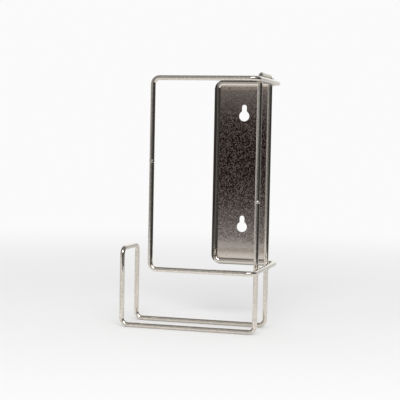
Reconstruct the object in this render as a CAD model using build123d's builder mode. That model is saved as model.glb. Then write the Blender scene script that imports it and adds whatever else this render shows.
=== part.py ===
from build123d import *

import os

# Wall-hung holder for one upright box of disposable gloves, in welded and plated wire.
# Millimetres, +Z up, origin on the floor under the middle of the outline. The wall is on the +Y
# side, the window that gloves are pulled through faces -Y, and the cradle's lip is on the -X side.

# Wire, shared by both rings
wire_diameter = 4.76
bend_radius = 6.4  # to the wire's centre line
flash_height = 0.55  # how far a butt weld stands proud of the wire
flash_width = 1.7
weld_setdown = 0.3  # how far a leg beds into a depth wire as they are welded

# Cradle: closed ring folded to a J, sizes between wire centres
overall_height = 254.0
cradle_length = 136.0
leg_spacing = 46.4
lip_height = 78.4
leg_joint_height = 129.0

# Guard loop: closed ring folded to a channel, sizes between wire centres
window_width = 101.5
window_sill = 63.0  # above the floor
crossbar_rise = 5.62  # cradle's crossbar above the loop's head wires
guard_depth = 101.5
back_reach = 64.1  # depth wires to the upright behind the plate
leg_setback = 31.5  # window wires to the front leg
loop_joint_height = 166.5

# Back plate: pressed sheet, beaded over the guard loop's back run
sheet_thickness = 0.8
bead_clearance = 0.05
bead_bend_radius = 0.4  # inside the bend from panel to bead
plate_edge_inset = 8.0  # depth wires to the plate's cut edge
keyhole_entry_diameter = 10.6
keyhole_slot_width = 5.1
keyhole_travel = 9.0
keyhole_inset = 35.5  # depth wires to the keyholes
keyhole_sill_inset = 35.9  # sill wire up to the lower entry
keyhole_head_inset = 33.5  # head wire down to the upper entry

# Weld metal
weld_radius = 1.9
weld_length = 8.4
tack_radius = 1.5
tack_length = 6.5
tack_inset = 14.0  # from either end of the back run to the middle of a tack
tack_offset = 1.0  # wire's side to the tack's middle, along the panel
tack_standoff = 0.7  # panel's back to the tack's middle

# Places worked out from the sizes above
wire_radius = wire_diameter / 2
depth_x = (cradle_length + wire_diameter - weld_setdown) / 2
legs_x = depth_x - wire_diameter + weld_setdown
lip_x = -depth_x
window_x = depth_x - window_width
upright_x = depth_x - back_reach
plate_edge_x = depth_x - plate_edge_inset
keyhole_x = depth_x - keyhole_inset

window_y = -guard_depth / 2
back_y = guard_depth / 2
front_leg_y = window_y + leg_setback
rear_leg_y = front_leg_y + leg_spacing
cradle_y = (front_leg_y + rear_leg_y) / 2

floor_wire_z = wire_radius
crossbar_z = overall_height - wire_radius
head_z = crossbar_z - crossbar_rise
loop_z = (window_sill + head_z) / 2

bead_inner_radius = wire_radius + bead_clearance
bead_outer_radius = bead_inner_radius + sheet_thickness
panel_inset = (bead_outer_radius + bead_bend_radius + bend_radius) / 2
bead_strip = (panel_inset + bend_radius) / 2  # overlaps the panel, short of the bends' centres


def butt_weld(x, y, z):
    """Ring of flash round an upright wire, where its two ends were welded together."""
    with BuildPart() as flash:
        with Locations((x, y, z)):
            Cylinder(wire_radius + flash_height, flash_width)
        chamfer(flash.edges(), min(flash_height, flash_width / 3))
    return flash.part


def weld_bead(length, radius):
    """Rod of weld metal along Z, drawn in at its ends and centred on the origin."""
    with BuildPart() as bead:
        Cylinder(radius, length)
        chamfer(bead.edges(), radius / 2)
    return bead.part


# Cradle: half the ring is swept from the lip's crossbar to the top one, then mirrored
with BuildPart() as cradle:
    with BuildLine() as half_cradle:
        FilletPolyline(
            (lip_x, cradle_y, lip_height),
            (lip_x, front_leg_y, lip_height),
            (lip_x, front_leg_y, floor_wire_z),
            (legs_x, front_leg_y, floor_wire_z),
            (legs_x, front_leg_y, crossbar_z),
            (legs_x, cradle_y, crossbar_z),
            radius=bend_radius,
        )
    with BuildSketch(Plane(half_cradle.line @ 0, z_dir=half_cradle.line % 0)):
        Circle(wire_radius)
    sweep()
    mirror(about=Plane.XZ.offset(-cradle_y))
    add(butt_weld(legs_x, front_leg_y, leg_joint_height))

# Guard loop: the half above its middle is swept round window, depth and back, then mirrored down
with BuildPart() as guard_loop:
    with BuildLine() as half_loop:
        FilletPolyline(
            (window_x, window_y, loop_z),
            (window_x, window_y, head_z),
            (depth_x, window_y, head_z),
            (depth_x, back_y, head_z),
            (upright_x, back_y, head_z),
            (upright_x, back_y, loop_z),
            radius=bend_radius,
        )
    with BuildSketch(Plane(half_loop.line @ 0, z_dir=half_loop.line % 0)):
        Circle(wire_radius)
    sweep()
    mirror(about=Plane.XY.offset(loop_z))
    add(butt_weld(window_x, window_y, loop_joint_height))
    add(cradle.part, mode=Mode.SUBTRACT)  # saddles that the legs bed into

# Back plate: bead swept over the loop's back run, mirrored down, then the panel with its keyholes
with BuildPart() as back_plate:
    with BuildLine() as bead_path:
        FilletPolyline(
            (plate_edge_x, back_y, head_z),
            (upright_x, back_y, head_z),
            (upright_x, back_y, loop_z),
            radius=bend_radius,
        )
    # Section in the panel's own directions: x inwards from the wire, y to the front
    with BuildSketch(Plane(bead_path.line @ 0, x_dir=(0, 0, -1), z_dir=(-1, 0, 0))) as section:
        Circle(bead_outer_radius)
        Circle(bead_inner_radius, mode=Mode.SUBTRACT)
        Rectangle(
            2 * bead_outer_radius,
            bead_outer_radius,
            align=(Align.CENTER, Align.MAX),
            mode=Mode.SUBTRACT,
        )
        with Locations((bead_inner_radius, 0)):
            Rectangle(bead_strip - bead_inner_radius, sheet_thickness, align=(Align.MIN, Align.MIN))
        inner_corner = section.vertices().sort_by_distance((bead_inner_radius, 0))[0]
        fillet(inner_corner, bead_bend_radius + sheet_thickness)
        outer_corner = section.vertices().sort_by_distance((bead_outer_radius, sheet_thickness))[0]
        fillet(outer_corner, bead_bend_radius)
    sweep()
    mirror(about=Plane.XY.offset(loop_z))
    panel_left = upright_x + panel_inset
    with BuildSketch(Plane.XZ.offset(-back_y)):
        with Locations(((panel_left + plate_edge_x) / 2, loop_z)):
            Rectangle(plate_edge_x - panel_left, head_z - window_sill - 2 * panel_inset)
    extrude(amount=sheet_thickness)
    with BuildSketch(Plane.XZ.offset(-back_y)):
        for entry_z in (window_sill + keyhole_sill_inset, head_z - keyhole_head_inset):
            with Locations((keyhole_x, entry_z)):
                Circle(keyhole_entry_diameter / 2)
            with Locations((keyhole_x, entry_z + keyhole_travel / 2)):
                SlotCenterToCenter(keyhole_travel, keyhole_slot_width, rotation=90)
    extrude(amount=sheet_thickness, mode=Mode.SUBTRACT)

# Cross welds: metal in the crevices where a leg meets a depth wire
cross_weld_places = {
    "weld_top_front": (front_leg_y, head_z),
    "weld_top_rear": (rear_leg_y, head_z),
    "weld_bottom_front": (front_leg_y, window_sill),
    "weld_bottom_rear": (rear_leg_y, window_sill),
}
cross_welds = []
for name, (y, z) in cross_weld_places.items():
    with BuildPart() as cross_weld:
        with Locations(((legs_x + depth_x) / 2, y, z)):
            add(weld_bead(weld_length, weld_radius))
        add(cradle.part, mode=Mode.SUBTRACT)
        add(guard_loop.part, mode=Mode.SUBTRACT)
    cross_weld.part.label = name
    cross_welds.append(cross_weld)

# Tacks: metal between the back run and the panel's back, inside the loop
tack_z_shift = wire_radius + tack_offset
tack_places = {
    "tack_top_left": (upright_x + tack_inset, head_z - tack_z_shift),
    "tack_top_right": (plate_edge_x - tack_inset, head_z - tack_z_shift),
    "tack_bottom_left": (upright_x + tack_inset, window_sill + tack_z_shift),
    "tack_bottom_right": (plate_edge_x - tack_inset, window_sill + tack_z_shift),
}
tacks = []
for name, (x, z) in tack_places.items():
    with BuildPart() as tack:
        with Locations(Location((x, back_y + tack_standoff, z), (0, 90, 0))):
            add(weld_bead(tack_length, tack_radius))
        add(guard_loop.part, mode=Mode.SUBTRACT)
        add(back_plate.part, mode=Mode.SUBTRACT)
    tack.part.label = name
    tacks.append(tack)

cradle.part.label = "cradle"
guard_loop.part.label = "guard_loop"
back_plate.part.label = "back_plate"

os.makedirs("parts", exist_ok=True)
for piece in (cradle, guard_loop, back_plate, *cross_welds, *tacks):
    export_step(piece.part, f"parts/{piece.part.label}.step")
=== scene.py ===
import bpy
import bmesh
from math import acos, atan2, cos, pi, radians, sin, sqrt
from mathutils import Matrix, Vector


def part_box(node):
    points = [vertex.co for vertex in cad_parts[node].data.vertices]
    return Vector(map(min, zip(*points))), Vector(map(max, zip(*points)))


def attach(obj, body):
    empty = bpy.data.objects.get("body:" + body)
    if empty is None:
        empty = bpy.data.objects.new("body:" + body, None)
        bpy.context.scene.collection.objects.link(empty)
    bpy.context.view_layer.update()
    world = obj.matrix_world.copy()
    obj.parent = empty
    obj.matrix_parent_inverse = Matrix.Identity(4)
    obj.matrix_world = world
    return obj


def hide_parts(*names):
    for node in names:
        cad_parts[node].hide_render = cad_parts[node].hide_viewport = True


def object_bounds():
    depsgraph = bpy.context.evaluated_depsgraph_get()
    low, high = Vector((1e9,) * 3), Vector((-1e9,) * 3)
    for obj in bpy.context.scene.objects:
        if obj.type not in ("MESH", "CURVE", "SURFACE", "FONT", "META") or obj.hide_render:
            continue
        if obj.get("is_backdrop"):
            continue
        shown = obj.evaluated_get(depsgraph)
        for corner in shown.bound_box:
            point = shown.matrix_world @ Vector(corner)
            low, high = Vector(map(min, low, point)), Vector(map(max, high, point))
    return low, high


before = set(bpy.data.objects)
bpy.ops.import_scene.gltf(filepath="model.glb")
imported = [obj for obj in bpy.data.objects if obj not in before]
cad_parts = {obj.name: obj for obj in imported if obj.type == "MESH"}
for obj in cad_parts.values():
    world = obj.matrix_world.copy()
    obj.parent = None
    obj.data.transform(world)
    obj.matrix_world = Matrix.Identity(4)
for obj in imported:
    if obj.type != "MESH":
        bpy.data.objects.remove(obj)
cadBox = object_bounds()
print("frame loaded:", len(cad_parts), "nodes")

mm = 0.001
scene = bpy.context.scene
smoothly = {"interpolation_type": "SMOOTHSTEP"}  # for Map Range nodes that ease in and out


def rgba(hexColour):
    # sRGB hex to linear, which is what shader sockets take
    channels = [int(hexColour[i:i + 2], 16) / 255 for i in (1, 3, 5)]
    return [c / 12.92 if c < 0.04045 else ((c + 0.055) / 1.055) ** 2.4 for c in channels] + [1.0]


def addNode(tree, kind, settings=None, inputs=None, links=None):
    # settings are node properties, inputs are socket values, links are socket name -> output socket
    node = tree.nodes.new(kind)
    for name, value in (settings or {}).items():
        setattr(node, name, value)
    for name, value in (inputs or {}).items():
        node.inputs[name].default_value = value
    for name, socket in (links or {}).items():
        tree.links.new(socket, node.inputs[name])
    return node


def between(low, high, bottom=0.0, top=1.0):
    # inputs of a Map Range node that goes from bottom to top as its value goes from low to high
    return {"From Min": low, "From Max": high, "To Min": bottom, "To Max": top}


def addObject(name, data):
    made = bpy.data.objects.new(name, data)
    scene.collection.objects.link(made)
    return made


def meshObject(name, build):
    # an object whose mesh the build function fills
    shape = bmesh.new()
    build(shape)
    bmesh.ops.recalc_face_normals(shape, faces=shape.faces)
    mesh = bpy.data.meshes.new(name)
    shape.to_mesh(mesh)
    shape.free()
    return addObject(name, mesh)


# both rings are of one wire; their other sizes are read from the frame
wire = {
    "diameter": 4.76 * mm,
    "bendRadius": 6.4 * mm,  # to the wire's middle
    "bendSteps": 20,
    "sides": 48,
    "lipHeight": 78.4 * mm,
    "flashReach": 0.55 * mm,  # how far the butt welds widen the rings' boxes in the frame
    "legFlash": 0.38 * mm,  # how far each of them stands out of the wire here
    "windowFlash": 0.16 * mm,
    "flashWidth": 2.4 * mm,
    "flashSides": 20,
    "legJointHeight": 129.0 * mm,
    "windowJointHeight": 166.5 * mm,
    "smooth": 0.04,  # roughness between the dull spots
    "dull": 0.11,  # roughness in them
    "stain": 0.14,  # how far they are lighter, and the rest darker, than the tint
    "waveDepth": 0.02 * mm,
}
wireRadius = wire["diameter"] / 2

cradleLow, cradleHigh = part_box("cradle")
loopLow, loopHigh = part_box("guard_loop")
plateLow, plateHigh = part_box("back_plate")

lipX = cradleLow.x + wireRadius
legsX = cradleHigh.x - wireRadius - wire["flashReach"]
frontLegY = cradleLow.y + wireRadius + wire["flashReach"]
rearLegY = cradleHigh.y - wireRadius
crossbarZ = cradleHigh.z - wireRadius

windowX = loopLow.x + wireRadius + wire["flashReach"]
windowY = loopLow.y + wireRadius + wire["flashReach"]
depthX = loopHigh.x - wireRadius
backY = loopHigh.y - wireRadius
sillZ = loopLow.z + wireRadius
headZ = loopHigh.z - wireRadius

beadRadius = plateHigh.y - plateLow.y  # outside of the bead pressed over the back run
uprightX = plateLow.x + beadRadius


plating = {
    "tint": "#E4DDD3",  # nickel is a warm grey
    "spot": 1.05 * mm,  # size of the dull spots, a little coarse so that they show
    "spotDetail": 2.0,
    "spotRoughness": 0.6,
    "spotEdges": (0.44, 0.62),  # noise levels at which a spot begins and is fully dull
    "wave": 3.0 * mm,  # size of the waves in the plating, as large as orange peel
    "waveDetail": 1.0,
}


def brightNickel(name, piece):
    # bright nickel plate over plain steel: mirror-like and warm, with dull spots that catch stray light
    material = bpy.data.materials.new(name)
    material.use_nodes = True
    tree = material.node_tree
    shader = tree.nodes["Principled BSDF"]
    shader.inputs["Metallic"].default_value = 1.0
    place = addNode(tree, "ShaderNodeTexCoord").outputs["Object"]
    spots = addNode(tree, "ShaderNodeTexNoise", inputs={
        "Scale": 1 / plating["spot"], "Detail": plating["spotDetail"],
        "Roughness": plating["spotRoughness"]}, links={"Vector": place})
    dullness = addNode(tree, "ShaderNodeMapRange", smoothly, between(*plating["spotEdges"]), {
        "Value": spots.outputs["Fac"]}).outputs["Result"]
    lightness = addNode(tree, "ShaderNodeMapRange", smoothly, between(
        0.0, 1.0, 1 - piece["stain"], 1 + piece["stain"]), {"Value": dullness})
    colour = addNode(tree, "ShaderNodeVectorMath", {"operation": "SCALE"}, {
        0: rgba(plating["tint"])[:3]}, {"Scale": lightness.outputs["Result"]})
    roughness = addNode(tree, "ShaderNodeMapRange", smoothly, between(
        0.0, 1.0, piece["smooth"], piece["dull"]), {"Value": dullness})
    waves = addNode(tree, "ShaderNodeTexNoise", inputs={
        "Scale": 1 / plating["wave"], "Detail": plating["waveDetail"]}, links={"Vector": place})
    height = waves.outputs["Fac"]
    bump = addNode(tree, "ShaderNodeBump", inputs={
        "Strength": 1.0, "Distance": piece["waveDepth"]}, links={"Height": height})
    tree.links.new(colour.outputs[0], shader.inputs["Base Color"])
    tree.links.new(roughness.outputs["Result"], shader.inputs["Roughness"])
    tree.links.new(bump.outputs["Normal"], shader.inputs["Normal"])
    return material, {"place": place, "dullness": dullness, "lightness": lightness, "colour": colour,
                      "roughness": roughness, "height": height, "bump": bump}


def newTree(name, sockets):
    tree = bpy.data.node_groups.new(name, "GeometryNodeTree")
    tree.interface.new_socket("Geometry", in_out="INPUT", socket_type="NodeSocketGeometry")
    for label, kind in sockets:
        tree.interface.new_socket(label, in_out="INPUT", socket_type="NodeSocket" + kind)
    tree.interface.new_socket("Geometry", in_out="OUTPUT", socket_type="NodeSocketGeometry")
    return tree, tree.nodes.new("NodeGroupInput").outputs


def endTree(tree, given, geometry):
    # smooth, real and painted, so that the export keeps it
    smooth = addNode(tree, "GeometryNodeSetShadeSmooth", links={"Geometry": geometry})
    real = addNode(tree, "GeometryNodeRealizeInstances", links={"Geometry": smooth.outputs[0]})
    painted = addNode(tree, "GeometryNodeSetMaterial", links={
        "Geometry": real.outputs[0], "Material": given["Material"]})
    addNode(tree, "NodeGroupOutput", links={0: painted.outputs[0]})
    return tree


def bakeTree(name, data, tree, values):
    # runs the tree on the data and keeps only the plain mesh
    source = addObject(name + "Source", data)
    modifier = source.modifiers.new("shape", "NODES")
    modifier.node_group = tree
    for item in tree.interface.items_tree:
        if item.in_out == "INPUT" and item.name in values:
            modifier[item.identifier] = values[item.name]
    evaluated = source.evaluated_get(bpy.context.evaluated_depsgraph_get())
    mesh = bpy.data.meshes.new_from_object(evaluated)
    mesh.name = name
    source.modifiers.remove(modifier)
    bpy.data.objects.remove(source)
    return addObject(name, mesh)


def bentWireTree():
    # a wire of one gauge run round a path with its corners bent, and one ring of flash where it is joined
    tree, given = newTree("bentWire", [
        ("Wire Radius", "Float"), ("Bend Radius", "Float"), ("Bend Steps", "Int"), ("Sides", "Int"),
        ("Joint", "Vector"), ("Flash Height", "Float"), ("Flash Width", "Float"), ("Flash Sides", "Int"),
        ("Material", "Material")])
    bent = addNode(tree, "GeometryNodeFilletCurve", {"mode": "POLY"}, {"Limit Radius": True}, {
        "Curve": given["Geometry"], "Count": given["Bend Steps"], "Radius": given["Bend Radius"]})
    around = addNode(tree, "GeometryNodeCurvePrimitiveCircle", links={
        "Resolution": given["Sides"], "Radius": given["Wire Radius"]})
    swept = addNode(tree, "GeometryNodeCurveToMesh", links={
        "Curve": bent.outputs["Curve"], "Profile Curve": around.outputs["Curve"]})
    flashCircle = addNode(tree, "GeometryNodeCurvePrimitiveCircle", inputs={"Radius": 1.0}, links={
        "Resolution": given["Flash Sides"]})
    flashSize = addNode(tree, "ShaderNodeCombineXYZ", links={
        "X": given["Flash Height"], "Y": given["Flash Width"]})
    halfWide = addNode(tree, "ShaderNodeVectorMath", {"operation": "MULTIPLY"}, {
        1: (1.0, 0.5, 1.0)}, {0: flashSize.outputs[0]})
    flashOval = addNode(tree, "GeometryNodeTransform", links={
        "Geometry": flashCircle.outputs["Curve"], "Scale": halfWide.outputs[0]})
    flash = addNode(tree, "GeometryNodeCurveToMesh", links={
        "Curve": around.outputs["Curve"], "Profile Curve": flashOval.outputs[0]})
    flashPlaced = addNode(tree, "GeometryNodeTransform", links={
        "Geometry": flash.outputs[0], "Translation": given["Joint"]})
    joined = addNode(tree, "GeometryNodeJoinGeometry", links={"Geometry": swept.outputs[0]})
    tree.links.new(flashPlaced.outputs[0], joined.inputs["Geometry"])
    return endTree(tree, given, joined.outputs[0])


bentWire = bentWireTree()
# on drawn wire the nickel shows thin stripes of light and dark
nickelWire, _ = brightNickel("bright nickel plated wire", wire)


def wireRing(name, corners, joint, flash, node):
    path = bpy.data.curves.new(name + "Path", "CURVE")
    path.dimensions = "3D"
    spline = path.splines.new("POLY")
    spline.points.add(len(corners) - 1)
    for point, corner in zip(spline.points, corners):
        point.co = (*corner, 1.0)
    spline.use_cyclic_u = True
    ring = bakeTree(name, path, bentWire, {
        "Wire Radius": wireRadius, "Bend Radius": wire["bendRadius"], "Bend Steps": wire["bendSteps"],
        "Sides": wire["sides"], "Joint": joint, "Flash Height": flash, "Flash Width": wire["flashWidth"],
        "Flash Sides": wire["flashSides"], "Material": nickelWire})
    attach(ring, "root")
    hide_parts(node)


# two legs, two floor wires and the lip, with a crossbar at each end
wireRing("cradleWire", [
    (lipX, frontLegY, wire["lipHeight"]), (lipX, frontLegY, wireRadius),
    (legsX, frontLegY, wireRadius), (legsX, frontLegY, crossbarZ),
    (legsX, rearLegY, crossbarZ), (legsX, rearLegY, wireRadius),
    (lipX, rearLegY, wireRadius), (lipX, rearLegY, wire["lipHeight"])],
    (legsX, frontLegY, wire["legJointHeight"]), wire["legFlash"], "cradle")

# window, depth wires, and the back run that lies in the plate's bead
wireRing("guardWire", [
    (windowX, windowY, sillZ), (windowX, windowY, headZ),
    (depthX, windowY, headZ), (depthX, backY, headZ),
    (uprightX, backY, headZ), (uprightX, backY, sillZ),
    (depthX, backY, sillZ), (depthX, windowY, sillZ)],
    (windowX, windowY, wire["windowJointHeight"]), wire["windowFlash"], "guard_loop")
print("wire rings made")


plate = {
    "thickness": 0.8 * mm,
    "foldRadius": 0.4 * mm,  # inside the fold from panel to bead, on the front
    "overlap": 0.4 * mm,  # how far the bead's strip runs beyond the fold
    "sectionSteps": 40,
    "foldSteps": 12,
    "cornerSteps": 20,
    "sharpAngle": 35,  # degrees; edges with a wider turn stay sharp
    "keyholeInset": 35.5 * mm,  # from the depth wires
    "entryHeights": (98.9 * mm, 212.5 * mm),
    "entryRadius": 5.3 * mm,
    "entrySteps": 64,
    "slotRadius": 2.55 * mm,
    "slotSteps": 24,
    "slotTravel": 9.0 * mm,
    "cutReach": 4.0 * mm,  # of the keyholes' cutter, in front of the back run and behind it
    "smooth": 0.04,  # roughness between the dull spots
    "dull": 0.17,  # roughness in them
    "stain": 0.20,  # how far they are lighter, and the rest darker, than the tint
    "waveDepth": 0.01 * mm,
    "panelTint": "#BAB0A9",  # painted shade: the flat panel is painted darker, standing in for the dark room that it mirrors
    "panelFloor": 0.15,  # dullness of the panel between its dull spots
    "footFloor": 0.9,  # the same at the panel's foot
    "footCoat": 0.5,  # how much of that painted shade is left there, where the foot mirrors the bright table
    "footRise": (5.0 * mm, 23.0 * mm),  # heights above the sill between which both change
    "burnish": 0.3 * mm,  # how far the bead's shine runs on to the panel
    "rimTint": "#4A443F",  # painted shade: the bead's outer side is painted darkest, standing in for the dark that it mirrors there
    "rimLeft": (-0.6 * mm, 1.4 * mm),  # the painted shade ends between these, inwards from the back run's middle
    "rimBottom": (-3.2 * mm, -1.2 * mm),
    "rimTop": (-2.4 * mm, -0.2 * mm),
    "markInset": 12.5 * mm,  # a low mark shows each tack weld, this far from either end of a back run
    "markDrop": 4.6 * mm,  # and this far from the run's middle
    "markWidth": 1.3 * mm,  # to either side
    "markHeight": 2.4 * mm,  # up and down
    "markDepth": 0.04 * mm,
}
foldFront = plate["thickness"] + plate["foldRadius"]  # fold's middle, to the front of the back run's middle
foldInset = sqrt((beadRadius + plate["foldRadius"]) ** 2 - foldFront ** 2)  # and inwards from it
stripEnd = foldInset + plate["overlap"]


def alongBead(tree, place, left, bottom, top):
    # rises from 0 to 1 between two distances inwards from the middle of the back run, given for each side
    axes = addNode(tree, "ShaderNodeSeparateXYZ", links={0: place})
    sides = []
    for axis, change in (("X", between(uprightX + left[0], uprightX + left[1])),
                         ("Z", between(sillZ + bottom[0], sillZ + bottom[1])),
                         ("Z", between(headZ - top[1], headZ - top[0], 1.0, 0.0))):
        side = addNode(tree, "ShaderNodeMapRange", smoothly, change, {"Value": axes.outputs[axis]})
        sides.append(side.outputs["Result"])
    least = sides[0]
    for side in sides[1:]:
        smaller = addNode(tree, "ShaderNodeMath", {"operation": "MINIMUM"}, links={0: least, 1: side})
        least = smaller.outputs[0]
    return least


def tackMark(tree, place, x, z):
    # 1 at the middle of a tack's mark, 0 outside it
    offset = addNode(tree, "ShaderNodeVectorMath", {"operation": "SUBTRACT"}, {1: (x, 0.0, z)}, {0: place})
    scaled = addNode(tree, "ShaderNodeVectorMath", {"operation": "MULTIPLY"}, {
        1: (1 / plate["markWidth"], 0.0, 1 / plate["markHeight"])}, {0: offset.outputs[0]})
    gap = addNode(tree, "ShaderNodeVectorMath", {"operation": "LENGTH"}, links={0: scaled.outputs[0]})
    return addNode(tree, "ShaderNodeMapRange", smoothly, between(0.0, 1.0, 1.0, 0.0), {
        "Value": gap.outputs["Value"]}).outputs["Result"]


def platedSheet():
    # the same nickel on pressed sheet: a burnished bead that mirrors, with painted shade on its outer side,
    # round a speckled panel painted darker as painted shade for the dark room that it mirrors, less so at
    # its satin foot, where each tack weld shows as a low mark
    material, nickel = brightNickel("bright nickel plated sheet", plate)
    tree, place = material.node_tree, nickel["place"]
    axes = addNode(tree, "ShaderNodeSeparateXYZ", links={0: place})
    panelEdge = (beadRadius, beadRadius + plate["burnish"])
    flat = alongBead(tree, place, panelEdge, panelEdge, panelEdge)
    rimShadeMask = alongBead(tree, place, plate["rimLeft"], plate["rimBottom"], plate["rimTop"])
    low, high = (sillZ + rise for rise in plate["footRise"])

    # painted shade: the panel is painted darker than the bead, and only part of that at its foot, which
    # mirrors the bright table
    share = addNode(tree, "ShaderNodeMapRange", smoothly, between(low, high, plate["footCoat"], 1.0), {
        "Value": axes.outputs["Z"]})
    darker = addNode(tree, "ShaderNodeMath", {"operation": "MULTIPLY"}, links={
        0: flat, 1: share.outputs["Result"]})
    inside = addNode(tree, "ShaderNodeMix", {"data_type": "RGBA"}, {
        6: rgba(plating["tint"]), 7: rgba(plate["panelTint"])}, {0: darker.outputs[0]})
    # painted shade on the bead's outer side, mixed over the tints
    paintedShadeTint = addNode(tree, "ShaderNodeMix", {"data_type": "RGBA"}, {6: rgba(plate["rimTint"])}, {
        0: rimShadeMask, 7: inside.outputs[2]})

    floor = addNode(tree, "ShaderNodeMapRange", smoothly, between(
        low, high, plate["footFloor"], plate["panelFloor"]), {"Value": axes.outputs["Z"]})
    raised = addNode(tree, "ShaderNodeMix", {"data_type": "FLOAT"}, {3: 1.0}, {
        0: nickel["dullness"], 2: floor.outputs["Result"]})
    burnished = addNode(tree, "ShaderNodeMath", {"operation": "MULTIPLY"}, links={
        0: raised.outputs[0], 1: flat})
    lightness = addNode(tree, "ShaderNodeMix", {"data_type": "FLOAT"}, {2: 1.0}, {
        0: flat, 3: nickel["lightness"].outputs["Result"]})

    height = nickel["height"]
    markRise = plate["markDepth"] / plate["waveDepth"]
    for x in (uprightX + plate["markInset"], plateHigh.x - plate["markInset"]):
        for z in (headZ - plate["markDrop"], sillZ + plate["markDrop"]):
            height = addNode(tree, "ShaderNodeMath", {"operation": "MULTIPLY_ADD"}, {1: markRise}, {
                0: tackMark(tree, place, x, z), 2: height}).outputs[0]

    tree.links.new(raised.outputs[0], nickel["lightness"].inputs["Value"])
    tree.links.new(paintedShadeTint.outputs[2], nickel["colour"].inputs[0])
    tree.links.new(lightness.outputs[0], nickel["colour"].inputs["Scale"])
    tree.links.new(burnished.outputs[0], nickel["roughness"].inputs["Value"])
    tree.links.new(height, nickel["bump"].inputs["Height"])
    return material


def beadSection():
    # closed section in (inwards, to the front): over the wire, round the fold and on to the panel
    turn = atan2(foldFront, foldInset)
    outer, inner = [], []
    for skin, radius, fold in ((outer, beadRadius, plate["foldRadius"]),
                               (inner, beadRadius - plate["thickness"],
                                plate["foldRadius"] + plate["thickness"])):
        for i in range(plate["sectionSteps"] + 1):
            angle = pi + (turn - pi) * i / plate["sectionSteps"]
            skin.append((radius * cos(angle), radius * sin(angle)))
        for i in range(1, plate["foldSteps"] + 1):
            angle = pi + turn + (pi / 2 - turn) * i / plate["foldSteps"]
            skin.append((foldInset + fold * cos(angle), foldFront + fold * sin(angle)))
        skin.append((stripEnd, foldFront - fold))
    return outer + inner[::-1]


def beadPath():
    # (point, inward direction) along the wire's middle: top run, two bends and the upright, then bottom run
    bend = wire["bendRadius"]
    steps = [((plateHigh.x, headZ), (0, -1))]
    for x, z, start in ((uprightX + bend, headZ - bend, pi / 2), (uprightX + bend, sillZ + bend, pi)):
        for i in range(plate["cornerSteps"] + 1):
            angle = start + pi / 2 * i / plate["cornerSteps"]
            steps.append(((x + bend * cos(angle), z + bend * sin(angle)), (-cos(angle), -sin(angle))))
    steps.append(((plateHigh.x, sillZ), (0, 1)))
    return steps


def sweptBead(mesh):
    section = beadSection()
    rows = []
    for (x, z), (inX, inZ) in beadPath():
        rows.append([mesh.verts.new((x + inX * a, backY - b, z + inZ * a)) for a, b in section])
    for row, following in zip(rows, rows[1:]):
        for i in range(len(section)):
            j = (i + 1) % len(section)
            mesh.faces.new((row[i], row[j], following[j], following[i]))
    mesh.faces.new(rows[0])
    mesh.faces.new(rows[-1][::-1])


def flatPanel(mesh):
    # the sheet between the beads, from the strip beside each to the cut edge
    left, right = uprightX + stripEnd, plateHigh.x
    bottom, top = sillZ + stripEnd, headZ - stripEnd
    made = bmesh.ops.create_cube(mesh, size=1.0)
    for vertex in made["verts"]:
        vertex.co = ((left + right) / 2 + (right - left) * vertex.co.x,
                     backY - plate["thickness"] * (0.5 + vertex.co.y),
                     (bottom + top) / 2 + (top - bottom) * vertex.co.z)


def keyholeCutter(mesh, entryZ):
    # prism of a round entry with a narrower slot above it
    x = depthX - plate["keyholeInset"]
    entry, slot = plate["entryRadius"], plate["slotRadius"]
    mouth = acos(slot / entry)
    outline = []
    for i in range(plate["entrySteps"] + 1):
        angle = pi - mouth + (pi + 2 * mouth) * i / plate["entrySteps"]
        outline.append((x + entry * cos(angle), entryZ + entry * sin(angle)))
    for i in range(plate["slotSteps"] + 1):
        angle = pi * i / plate["slotSteps"]
        outline.append((x + slot * cos(angle), entryZ + plate["slotTravel"] + slot * sin(angle)))
    near = [mesh.verts.new((a, backY - plate["cutReach"], b)) for a, b in outline]
    far = [mesh.verts.new((a, backY + plate["cutReach"], b)) for a, b in outline]
    mesh.faces.new(near)
    mesh.faces.new(far[::-1])
    for i in range(len(outline)):
        j = (i + 1) % len(outline)
        mesh.faces.new((near[i], far[i], far[j], near[j]))


def cutPanel():
    panel = meshObject("panel", flatPanel)
    cutter = meshObject("keyholes", lambda mesh: [keyholeCutter(mesh, z) for z in plate["entryHeights"]])
    holes = panel.modifiers.new("keyholes", "BOOLEAN")
    holes.operation = "DIFFERENCE"
    holes.solver = "EXACT"
    holes.object = cutter
    cut = bpy.data.meshes.new_from_object(panel.evaluated_get(bpy.context.evaluated_depsgraph_get()))
    bpy.data.objects.remove(panel)
    bpy.data.objects.remove(cutter)
    return cut


def beadAndPanel(mesh):
    sweptBead(mesh)
    mesh.from_mesh(cutPanel())


backPlate = meshObject("backPlate", beadAndPanel)
backPlate.data.materials.append(platedSheet())
backPlate.data.shade_smooth()
backPlate.data.set_sharp_from_angle(angle=radians(plate["sharpAngle"]))
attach(backPlate, "root")
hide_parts("back_plate")
print("back plate made")


weld = {
    "lumpScale": 2.6,  # of the noise across a bead
    "lumpDetail": 1.0,
    "unevenness": 0.5,  # how far the lumps move the skin
    "subdivisions": 5,
    "smooth": 0.35,  # roughness between the dull spots
    "dull": 0.55,  # roughness in them
    "stain": 0.10,  # how far they are lighter, and the rest darker, than the tint
    "waveDepth": 0.10 * mm,
}


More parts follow.
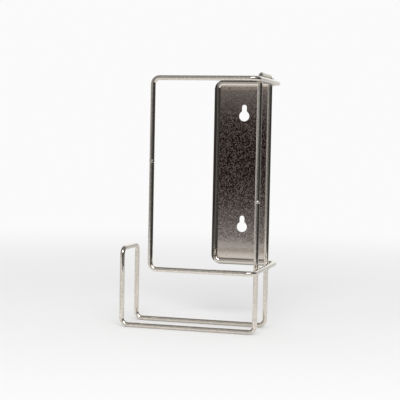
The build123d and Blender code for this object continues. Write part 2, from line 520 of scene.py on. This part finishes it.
def weldBeadTree():
    # a drop of weld metal: a stretched ball with uneven skin
    tree, given = newTree("weldBead", [
        ("Centre", "Vector"), ("Size", "Vector"), ("Subdivisions", "Int"), ("Lump Scale", "Float"),
        ("Lump Detail", "Float"), ("Unevenness", "Float"), ("Seed", "Float"), ("Material", "Material")])
    ball = addNode(tree, "GeometryNodeMeshIcoSphere", inputs={"Radius": 0.5}, links={
        "Subdivisions": given["Subdivisions"]})
    place = addNode(tree, "GeometryNodeInputPosition")
    lumps = addNode(tree, "ShaderNodeTexNoise", {"noise_dimensions": "4D"}, links={
        "Vector": place.outputs[0], "W": given["Seed"], "Scale": given["Lump Scale"],
        "Detail": given["Lump Detail"]})
    centred = addNode(tree, "ShaderNodeMath", {"operation": "SUBTRACT"}, {1: 0.5}, {0: lumps.outputs["Fac"]})
    amount = addNode(tree, "ShaderNodeMath", {"operation": "MULTIPLY"}, links={
        0: centred.outputs[0], 1: given["Unevenness"]})
    push = addNode(tree, "ShaderNodeVectorMath", {"operation": "SCALE"}, links={
        0: place.outputs[0], "Scale": amount.outputs[0]})
    uneven = addNode(tree, "GeometryNodeSetPosition", links={
        "Geometry": ball.outputs["Mesh"], "Offset": push.outputs[0]})
    sized = addNode(tree, "GeometryNodeTransform", links={
        "Geometry": uneven.outputs[0], "Scale": given["Size"], "Translation": given["Centre"]})
    return endTree(tree, given, sized.outputs[0])


weldBead = weldBeadTree()
# on rough weld metal the nickel is satin, with a soft and uneven shine
nickelWeld, _ = brightNickel("nickel plated weld metal", weld)

welds = sorted(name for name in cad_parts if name.startswith(("weld_", "tack_")))
for number, node in enumerate(welds):
    low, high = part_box(node)
    name = node.replace("_", " ").title().replace(" ", "")
    bead = bakeTree(name, bpy.data.meshes.new(node + "Seed"), weldBead, {
        "Centre": (low + high) / 2, "Size": high - low, "Subdivisions": weld["subdivisions"],
        "Lump Scale": weld["lumpScale"], "Lump Detail": weld["lumpDetail"],
        "Unevenness": weld["unevenness"], "Seed": float(number), "Material": nickelWeld})
    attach(bead, "root")
    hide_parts(node)
print("weld metal made")


camera = {
    "place": (0.30253, -1.09578, 0.19143),
    "turn": (15.2753, -3.1990, -1.1448),  # heading, pitch and roll in degrees
    "lens": 103.213,
    "sensor": 36.0,
    "nearest": 0.01,  # what is nearer is not drawn
}


def addCamera():
    made = addObject("camera", bpy.data.cameras.new("camera"))
    made.data.lens = camera["lens"]
    made.data.sensor_width = camera["sensor"]
    made.data.clip_start = camera["nearest"]
    heading, pitch, roll = (radians(turn) for turn in camera["turn"])
    made.matrix_world = (Matrix.Translation(camera["place"]) @ Matrix.Rotation(heading, 4, "Z")
                         @ Matrix.Rotation(pitch, 4, "X") @ Matrix.Rotation(roll, 4, "Y")
                         @ Matrix.Rotation(pi / 2, 4, "X"))
    scene.camera = made


table = {
    "front": (-1.22, -0.42),  # at its left and right corners
    "back": 1.8,
    "left": -0.9,
    "right": 0.55,
    "tone": "#F0F0F0",
    "fade": (0.20, 1.30),  # distances from the middle between which it fades into the backdrop
    "fadeFront": -0.31,  # where it starts to fade towards its front, right and left edges
    "fadeRight": 0.30,
    "fadeLeft": -0.50,
    "dimming": 0.84,  # painted shade: how much of its light is left far out, as the metal mirrors it
    "dim": (0.10, 0.30),  # distances between which it dims
}


def tableTop(mesh):
    left, right, back = table["left"], table["right"], table["back"]
    corners = [(left, table["front"][0]), (right, table["front"][1]), (right, back), (left, back)]
    mesh.faces.new([mesh.verts.new((x, y, 0.0)) for x, y in corners])


def whiteTable():
    # matt white paint: an even tone that takes the soft shadow, and fades into the white backdrop; where the
    # metal mirrors it, it is painted dimmer far out as painted shade
    material = bpy.data.materials.new("white table top")
    material.use_nodes = True
    tree = material.node_tree
    tree.nodes.clear()
    place = addNode(tree, "ShaderNodeTexCoord").outputs["Object"]
    axes = addNode(tree, "ShaderNodeSeparateXYZ", links={0: place})
    distance = addNode(tree, "ShaderNodeVectorMath", {"operation": "LENGTH"}, links={0: place})
    path = addNode(tree, "ShaderNodeLightPath")

    faded = addNode(tree, "ShaderNodeMapRange", smoothly, between(*table["fade"]), {
        "Value": distance.outputs["Value"]}).outputs["Result"]
    for axis, start, end in (("Y", table["fadeFront"], table["front"][1]),
                             ("X", table["fadeRight"], table["right"]),
                             ("X", table["fadeLeft"], table["left"])):
        edge = addNode(tree, "ShaderNodeMapRange", smoothly, between(start, end), {
            "Value": axes.outputs[axis]})
        faded = addNode(tree, "ShaderNodeMath", {"operation": "MAXIMUM"}, links={
            0: faded, 1: edge.outputs["Result"]}).outputs[0]
    seen = addNode(tree, "ShaderNodeMath", {"operation": "MULTIPLY"}, links={
        0: faded, 1: path.outputs["Is Camera Ray"]})

    # painted shade: seen in the metal, the table is painted dimmer far from the holder
    dimmed = addNode(tree, "ShaderNodeMapRange", smoothly, between(*table["dim"], 1.0, table["dimming"]), {
        "Value": distance.outputs["Value"]})
    mirrored = addNode(tree, "ShaderNodeMix", {"data_type": "FLOAT"}, {2: 1.0}, {
        0: path.outputs["Is Glossy Ray"], 3: dimmed.outputs["Result"]})
    tone = addNode(tree, "ShaderNodeVectorMath", {"operation": "SCALE"}, {0: rgba(table["tone"])[:3]}, {
        "Scale": mirrored.outputs[0]})
    paint = addNode(tree, "ShaderNodeBsdfDiffuse", links={"Color": tone.outputs[0]})
    white = addNode(tree, "ShaderNodeEmission", inputs={"Strength": room["backdrop"]})
    mixed = addNode(tree, "ShaderNodeMixShader", links={
        0: seen.outputs[0], 1: paint.outputs[0], 2: white.outputs[0]})
    addNode(tree, "ShaderNodeOutputMaterial", links={"Surface": mixed.outputs[0]})
    return material


def addTable():
    top = meshObject("tableTop", tableTop)
    top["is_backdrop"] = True
    top.data.materials.append(whiteTable())


room = {
    "backdrop": 0.96,  # grey level of the white backdrop
    "fill": 0.78,  # level of the light from all round
    "glow": (0.012, 0.001, 0.000, 1.0),  # faint red in the front wall that the metal mirrors
    "walls": [  # bearing from the camera's side, minus to the left, and grey level
        (-3.14, 1.0), (-2.4, 1.0), (-2.1, 0.7), (-1.9, 0.30), (-1.6, 0.22), (-1.2, 0.45), (-0.85, 0.45),
        (-0.3, 0.26), (0.0, 0.13), (0.3, 0.07), (0.6, 0.04), (1.0, 0.035), (1.7, 0.05), (2.3, 0.15),
        (2.6, 0.5), (2.8, 1.0)],
    "front": [  # rise of the ray and grey level: floor, dark horizon and grey wall above
        (-0.10, 0.33), (-0.080, 0.28), (-0.070, 0.18), (-0.055, 0.05), (-0.038, 0.012), (0.005, 0.008),
        (0.015, 0.03), (0.028, 0.15), (0.045, 0.32), (0.10, 0.30)],
    "frontRises": (-0.12, 0.12),
    "frontBearing": -0.533,  # of the front wall's middle
    "frontReach": (0.17, 0.27),  # bearings from there between which it gives way to the other walls
    "ceiling": [  # from -1 at the camera's side to 1 at the back, and grey level
        (-1.0, 0.25), (-0.92, 0.35), (-0.8, 0.55), (-0.6, 0.45), (-0.3, 0.22), (0.0, 0.16), (0.3, 0.2),
        (0.6, 0.5), (0.85, 1.0)],
    "ceilingRises": (0.12, 0.35),  # rises between which the walls give way to it
}


def levels(tree, value, low, high, stops):
    # grey levels between low and high, given as (value, level) from left to right
    scaled = addNode(tree, "ShaderNodeMapRange", inputs=between(low, high), links={"Value": value})
    graded = addNode(tree, "ShaderNodeValToRGB", links={"Fac": scaled.outputs["Result"]})
    ramp = graded.color_ramp
    while len(ramp.elements) < len(stops):
        ramp.elements.new(1.0)
    for element, (at, level) in zip(ramp.elements, stops):
        element.position = (at - low) / (high - low)
        element.color = (level, level, level, 1.0)
    return graded.outputs["Color"]


def addWorld():
    # plain white light and backdrop; in reflections the room is dark in front and to the right
    world = bpy.data.worlds.new("studio")
    scene.world = world
    world.use_nodes = True
    tree = world.node_tree
    tree.nodes.clear()
    direction = addNode(tree, "ShaderNodeTexCoord").outputs["Generated"]
    turned = addNode(tree, "ShaderNodeVectorRotate", {"rotation_type": "Z_AXIS"}, {
        "Angle": -radians(camera["turn"][0])}, {"Vector": direction})
    axes = addNode(tree, "ShaderNodeSeparateXYZ", links={0: turned.outputs[0]})
    toFront = addNode(tree, "ShaderNodeMath", {"operation": "MULTIPLY"}, {1: -1.0}, {0: axes.outputs["Y"]})
    bearing = addNode(tree, "ShaderNodeMath", {"operation": "ARCTAN2"}, links={
        0: axes.outputs["X"], 1: toFront.outputs[0]})

    walls = levels(tree, bearing.outputs[0], -pi, pi, room["walls"])
    front = levels(tree, axes.outputs["Z"], *room["frontRises"], room["front"])
    ceiling = levels(tree, axes.outputs["Y"], -1.0, 1.0, room["ceiling"])

    warm = addNode(tree, "ShaderNodeMixRGB", {"blend_type": "ADD"}, {0: 1.0, 2: room["glow"]}, {1: front})
    offFront = addNode(tree, "ShaderNodeMath", {"operation": "SUBTRACT"}, {1: room["frontBearing"]}, {
        0: bearing.outputs[0]})
    aside = addNode(tree, "ShaderNodeMath", {"operation": "ABSOLUTE"}, links={0: offFront.outputs[0]})
    pastFront = addNode(tree, "ShaderNodeMapRange", smoothly, between(*room["frontReach"]), {
        "Value": aside.outputs[0]})
    around = addNode(tree, "ShaderNodeMixRGB", links={
        0: pastFront.outputs["Result"], 1: warm.outputs[0], 2: walls})
    upwards = addNode(tree, "ShaderNodeMapRange", smoothly, between(*room["ceilingRises"]), {
        "Value": axes.outputs["Z"]})
    inside = addNode(tree, "ShaderNodeMixRGB", links={
        0: upwards.outputs["Result"], 1: around.outputs[0], 2: ceiling})

    path = addNode(tree, "ShaderNodeLightPath")
    mirrored = addNode(tree, "ShaderNodeMixRGB", inputs={1: [room["fill"]] * 3 + [1.0]}, links={
        0: path.outputs["Is Glossy Ray"], 2: inside.outputs[0]})
    seen = addNode(tree, "ShaderNodeMixRGB", inputs={2: [room["backdrop"]] * 3 + [1.0]}, links={
        0: path.outputs["Is Camera Ray"], 1: mirrored.outputs[0]})
    light = addNode(tree, "ShaderNodeBackground", links={"Color": seen.outputs[0]})
    addNode(tree, "ShaderNodeOutputWorld", links={"Surface": light.outputs[0]})


lamp = {
    "place": (0.58, -1.62, 1.40),
    "size": (1.80, 0.60),
    "power": 21.0,
}


def addLamp():
    # one soft oval beside the camera, above it, aimed at the middle of the holder
    softBox = addObject("softBox", bpy.data.lights.new("softBox", "AREA"))
    softBox.data.shape = "ELLIPSE"
    softBox.data.size, softBox.data.size_y = lamp["size"]
    softBox.data.energy = lamp["power"]
    place = Vector(lamp["place"])
    aim = (cadBox[0] + cadBox[1]) / 2 - place
    softBox.matrix_world = Matrix.Translation(place) @ aim.to_track_quat("-Z", "Y").to_matrix().to_4x4()


addCamera()
addTable()
addWorld()
addLamp()
scene.view_settings.view_transform = "Standard"
print("studio made")

low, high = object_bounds()
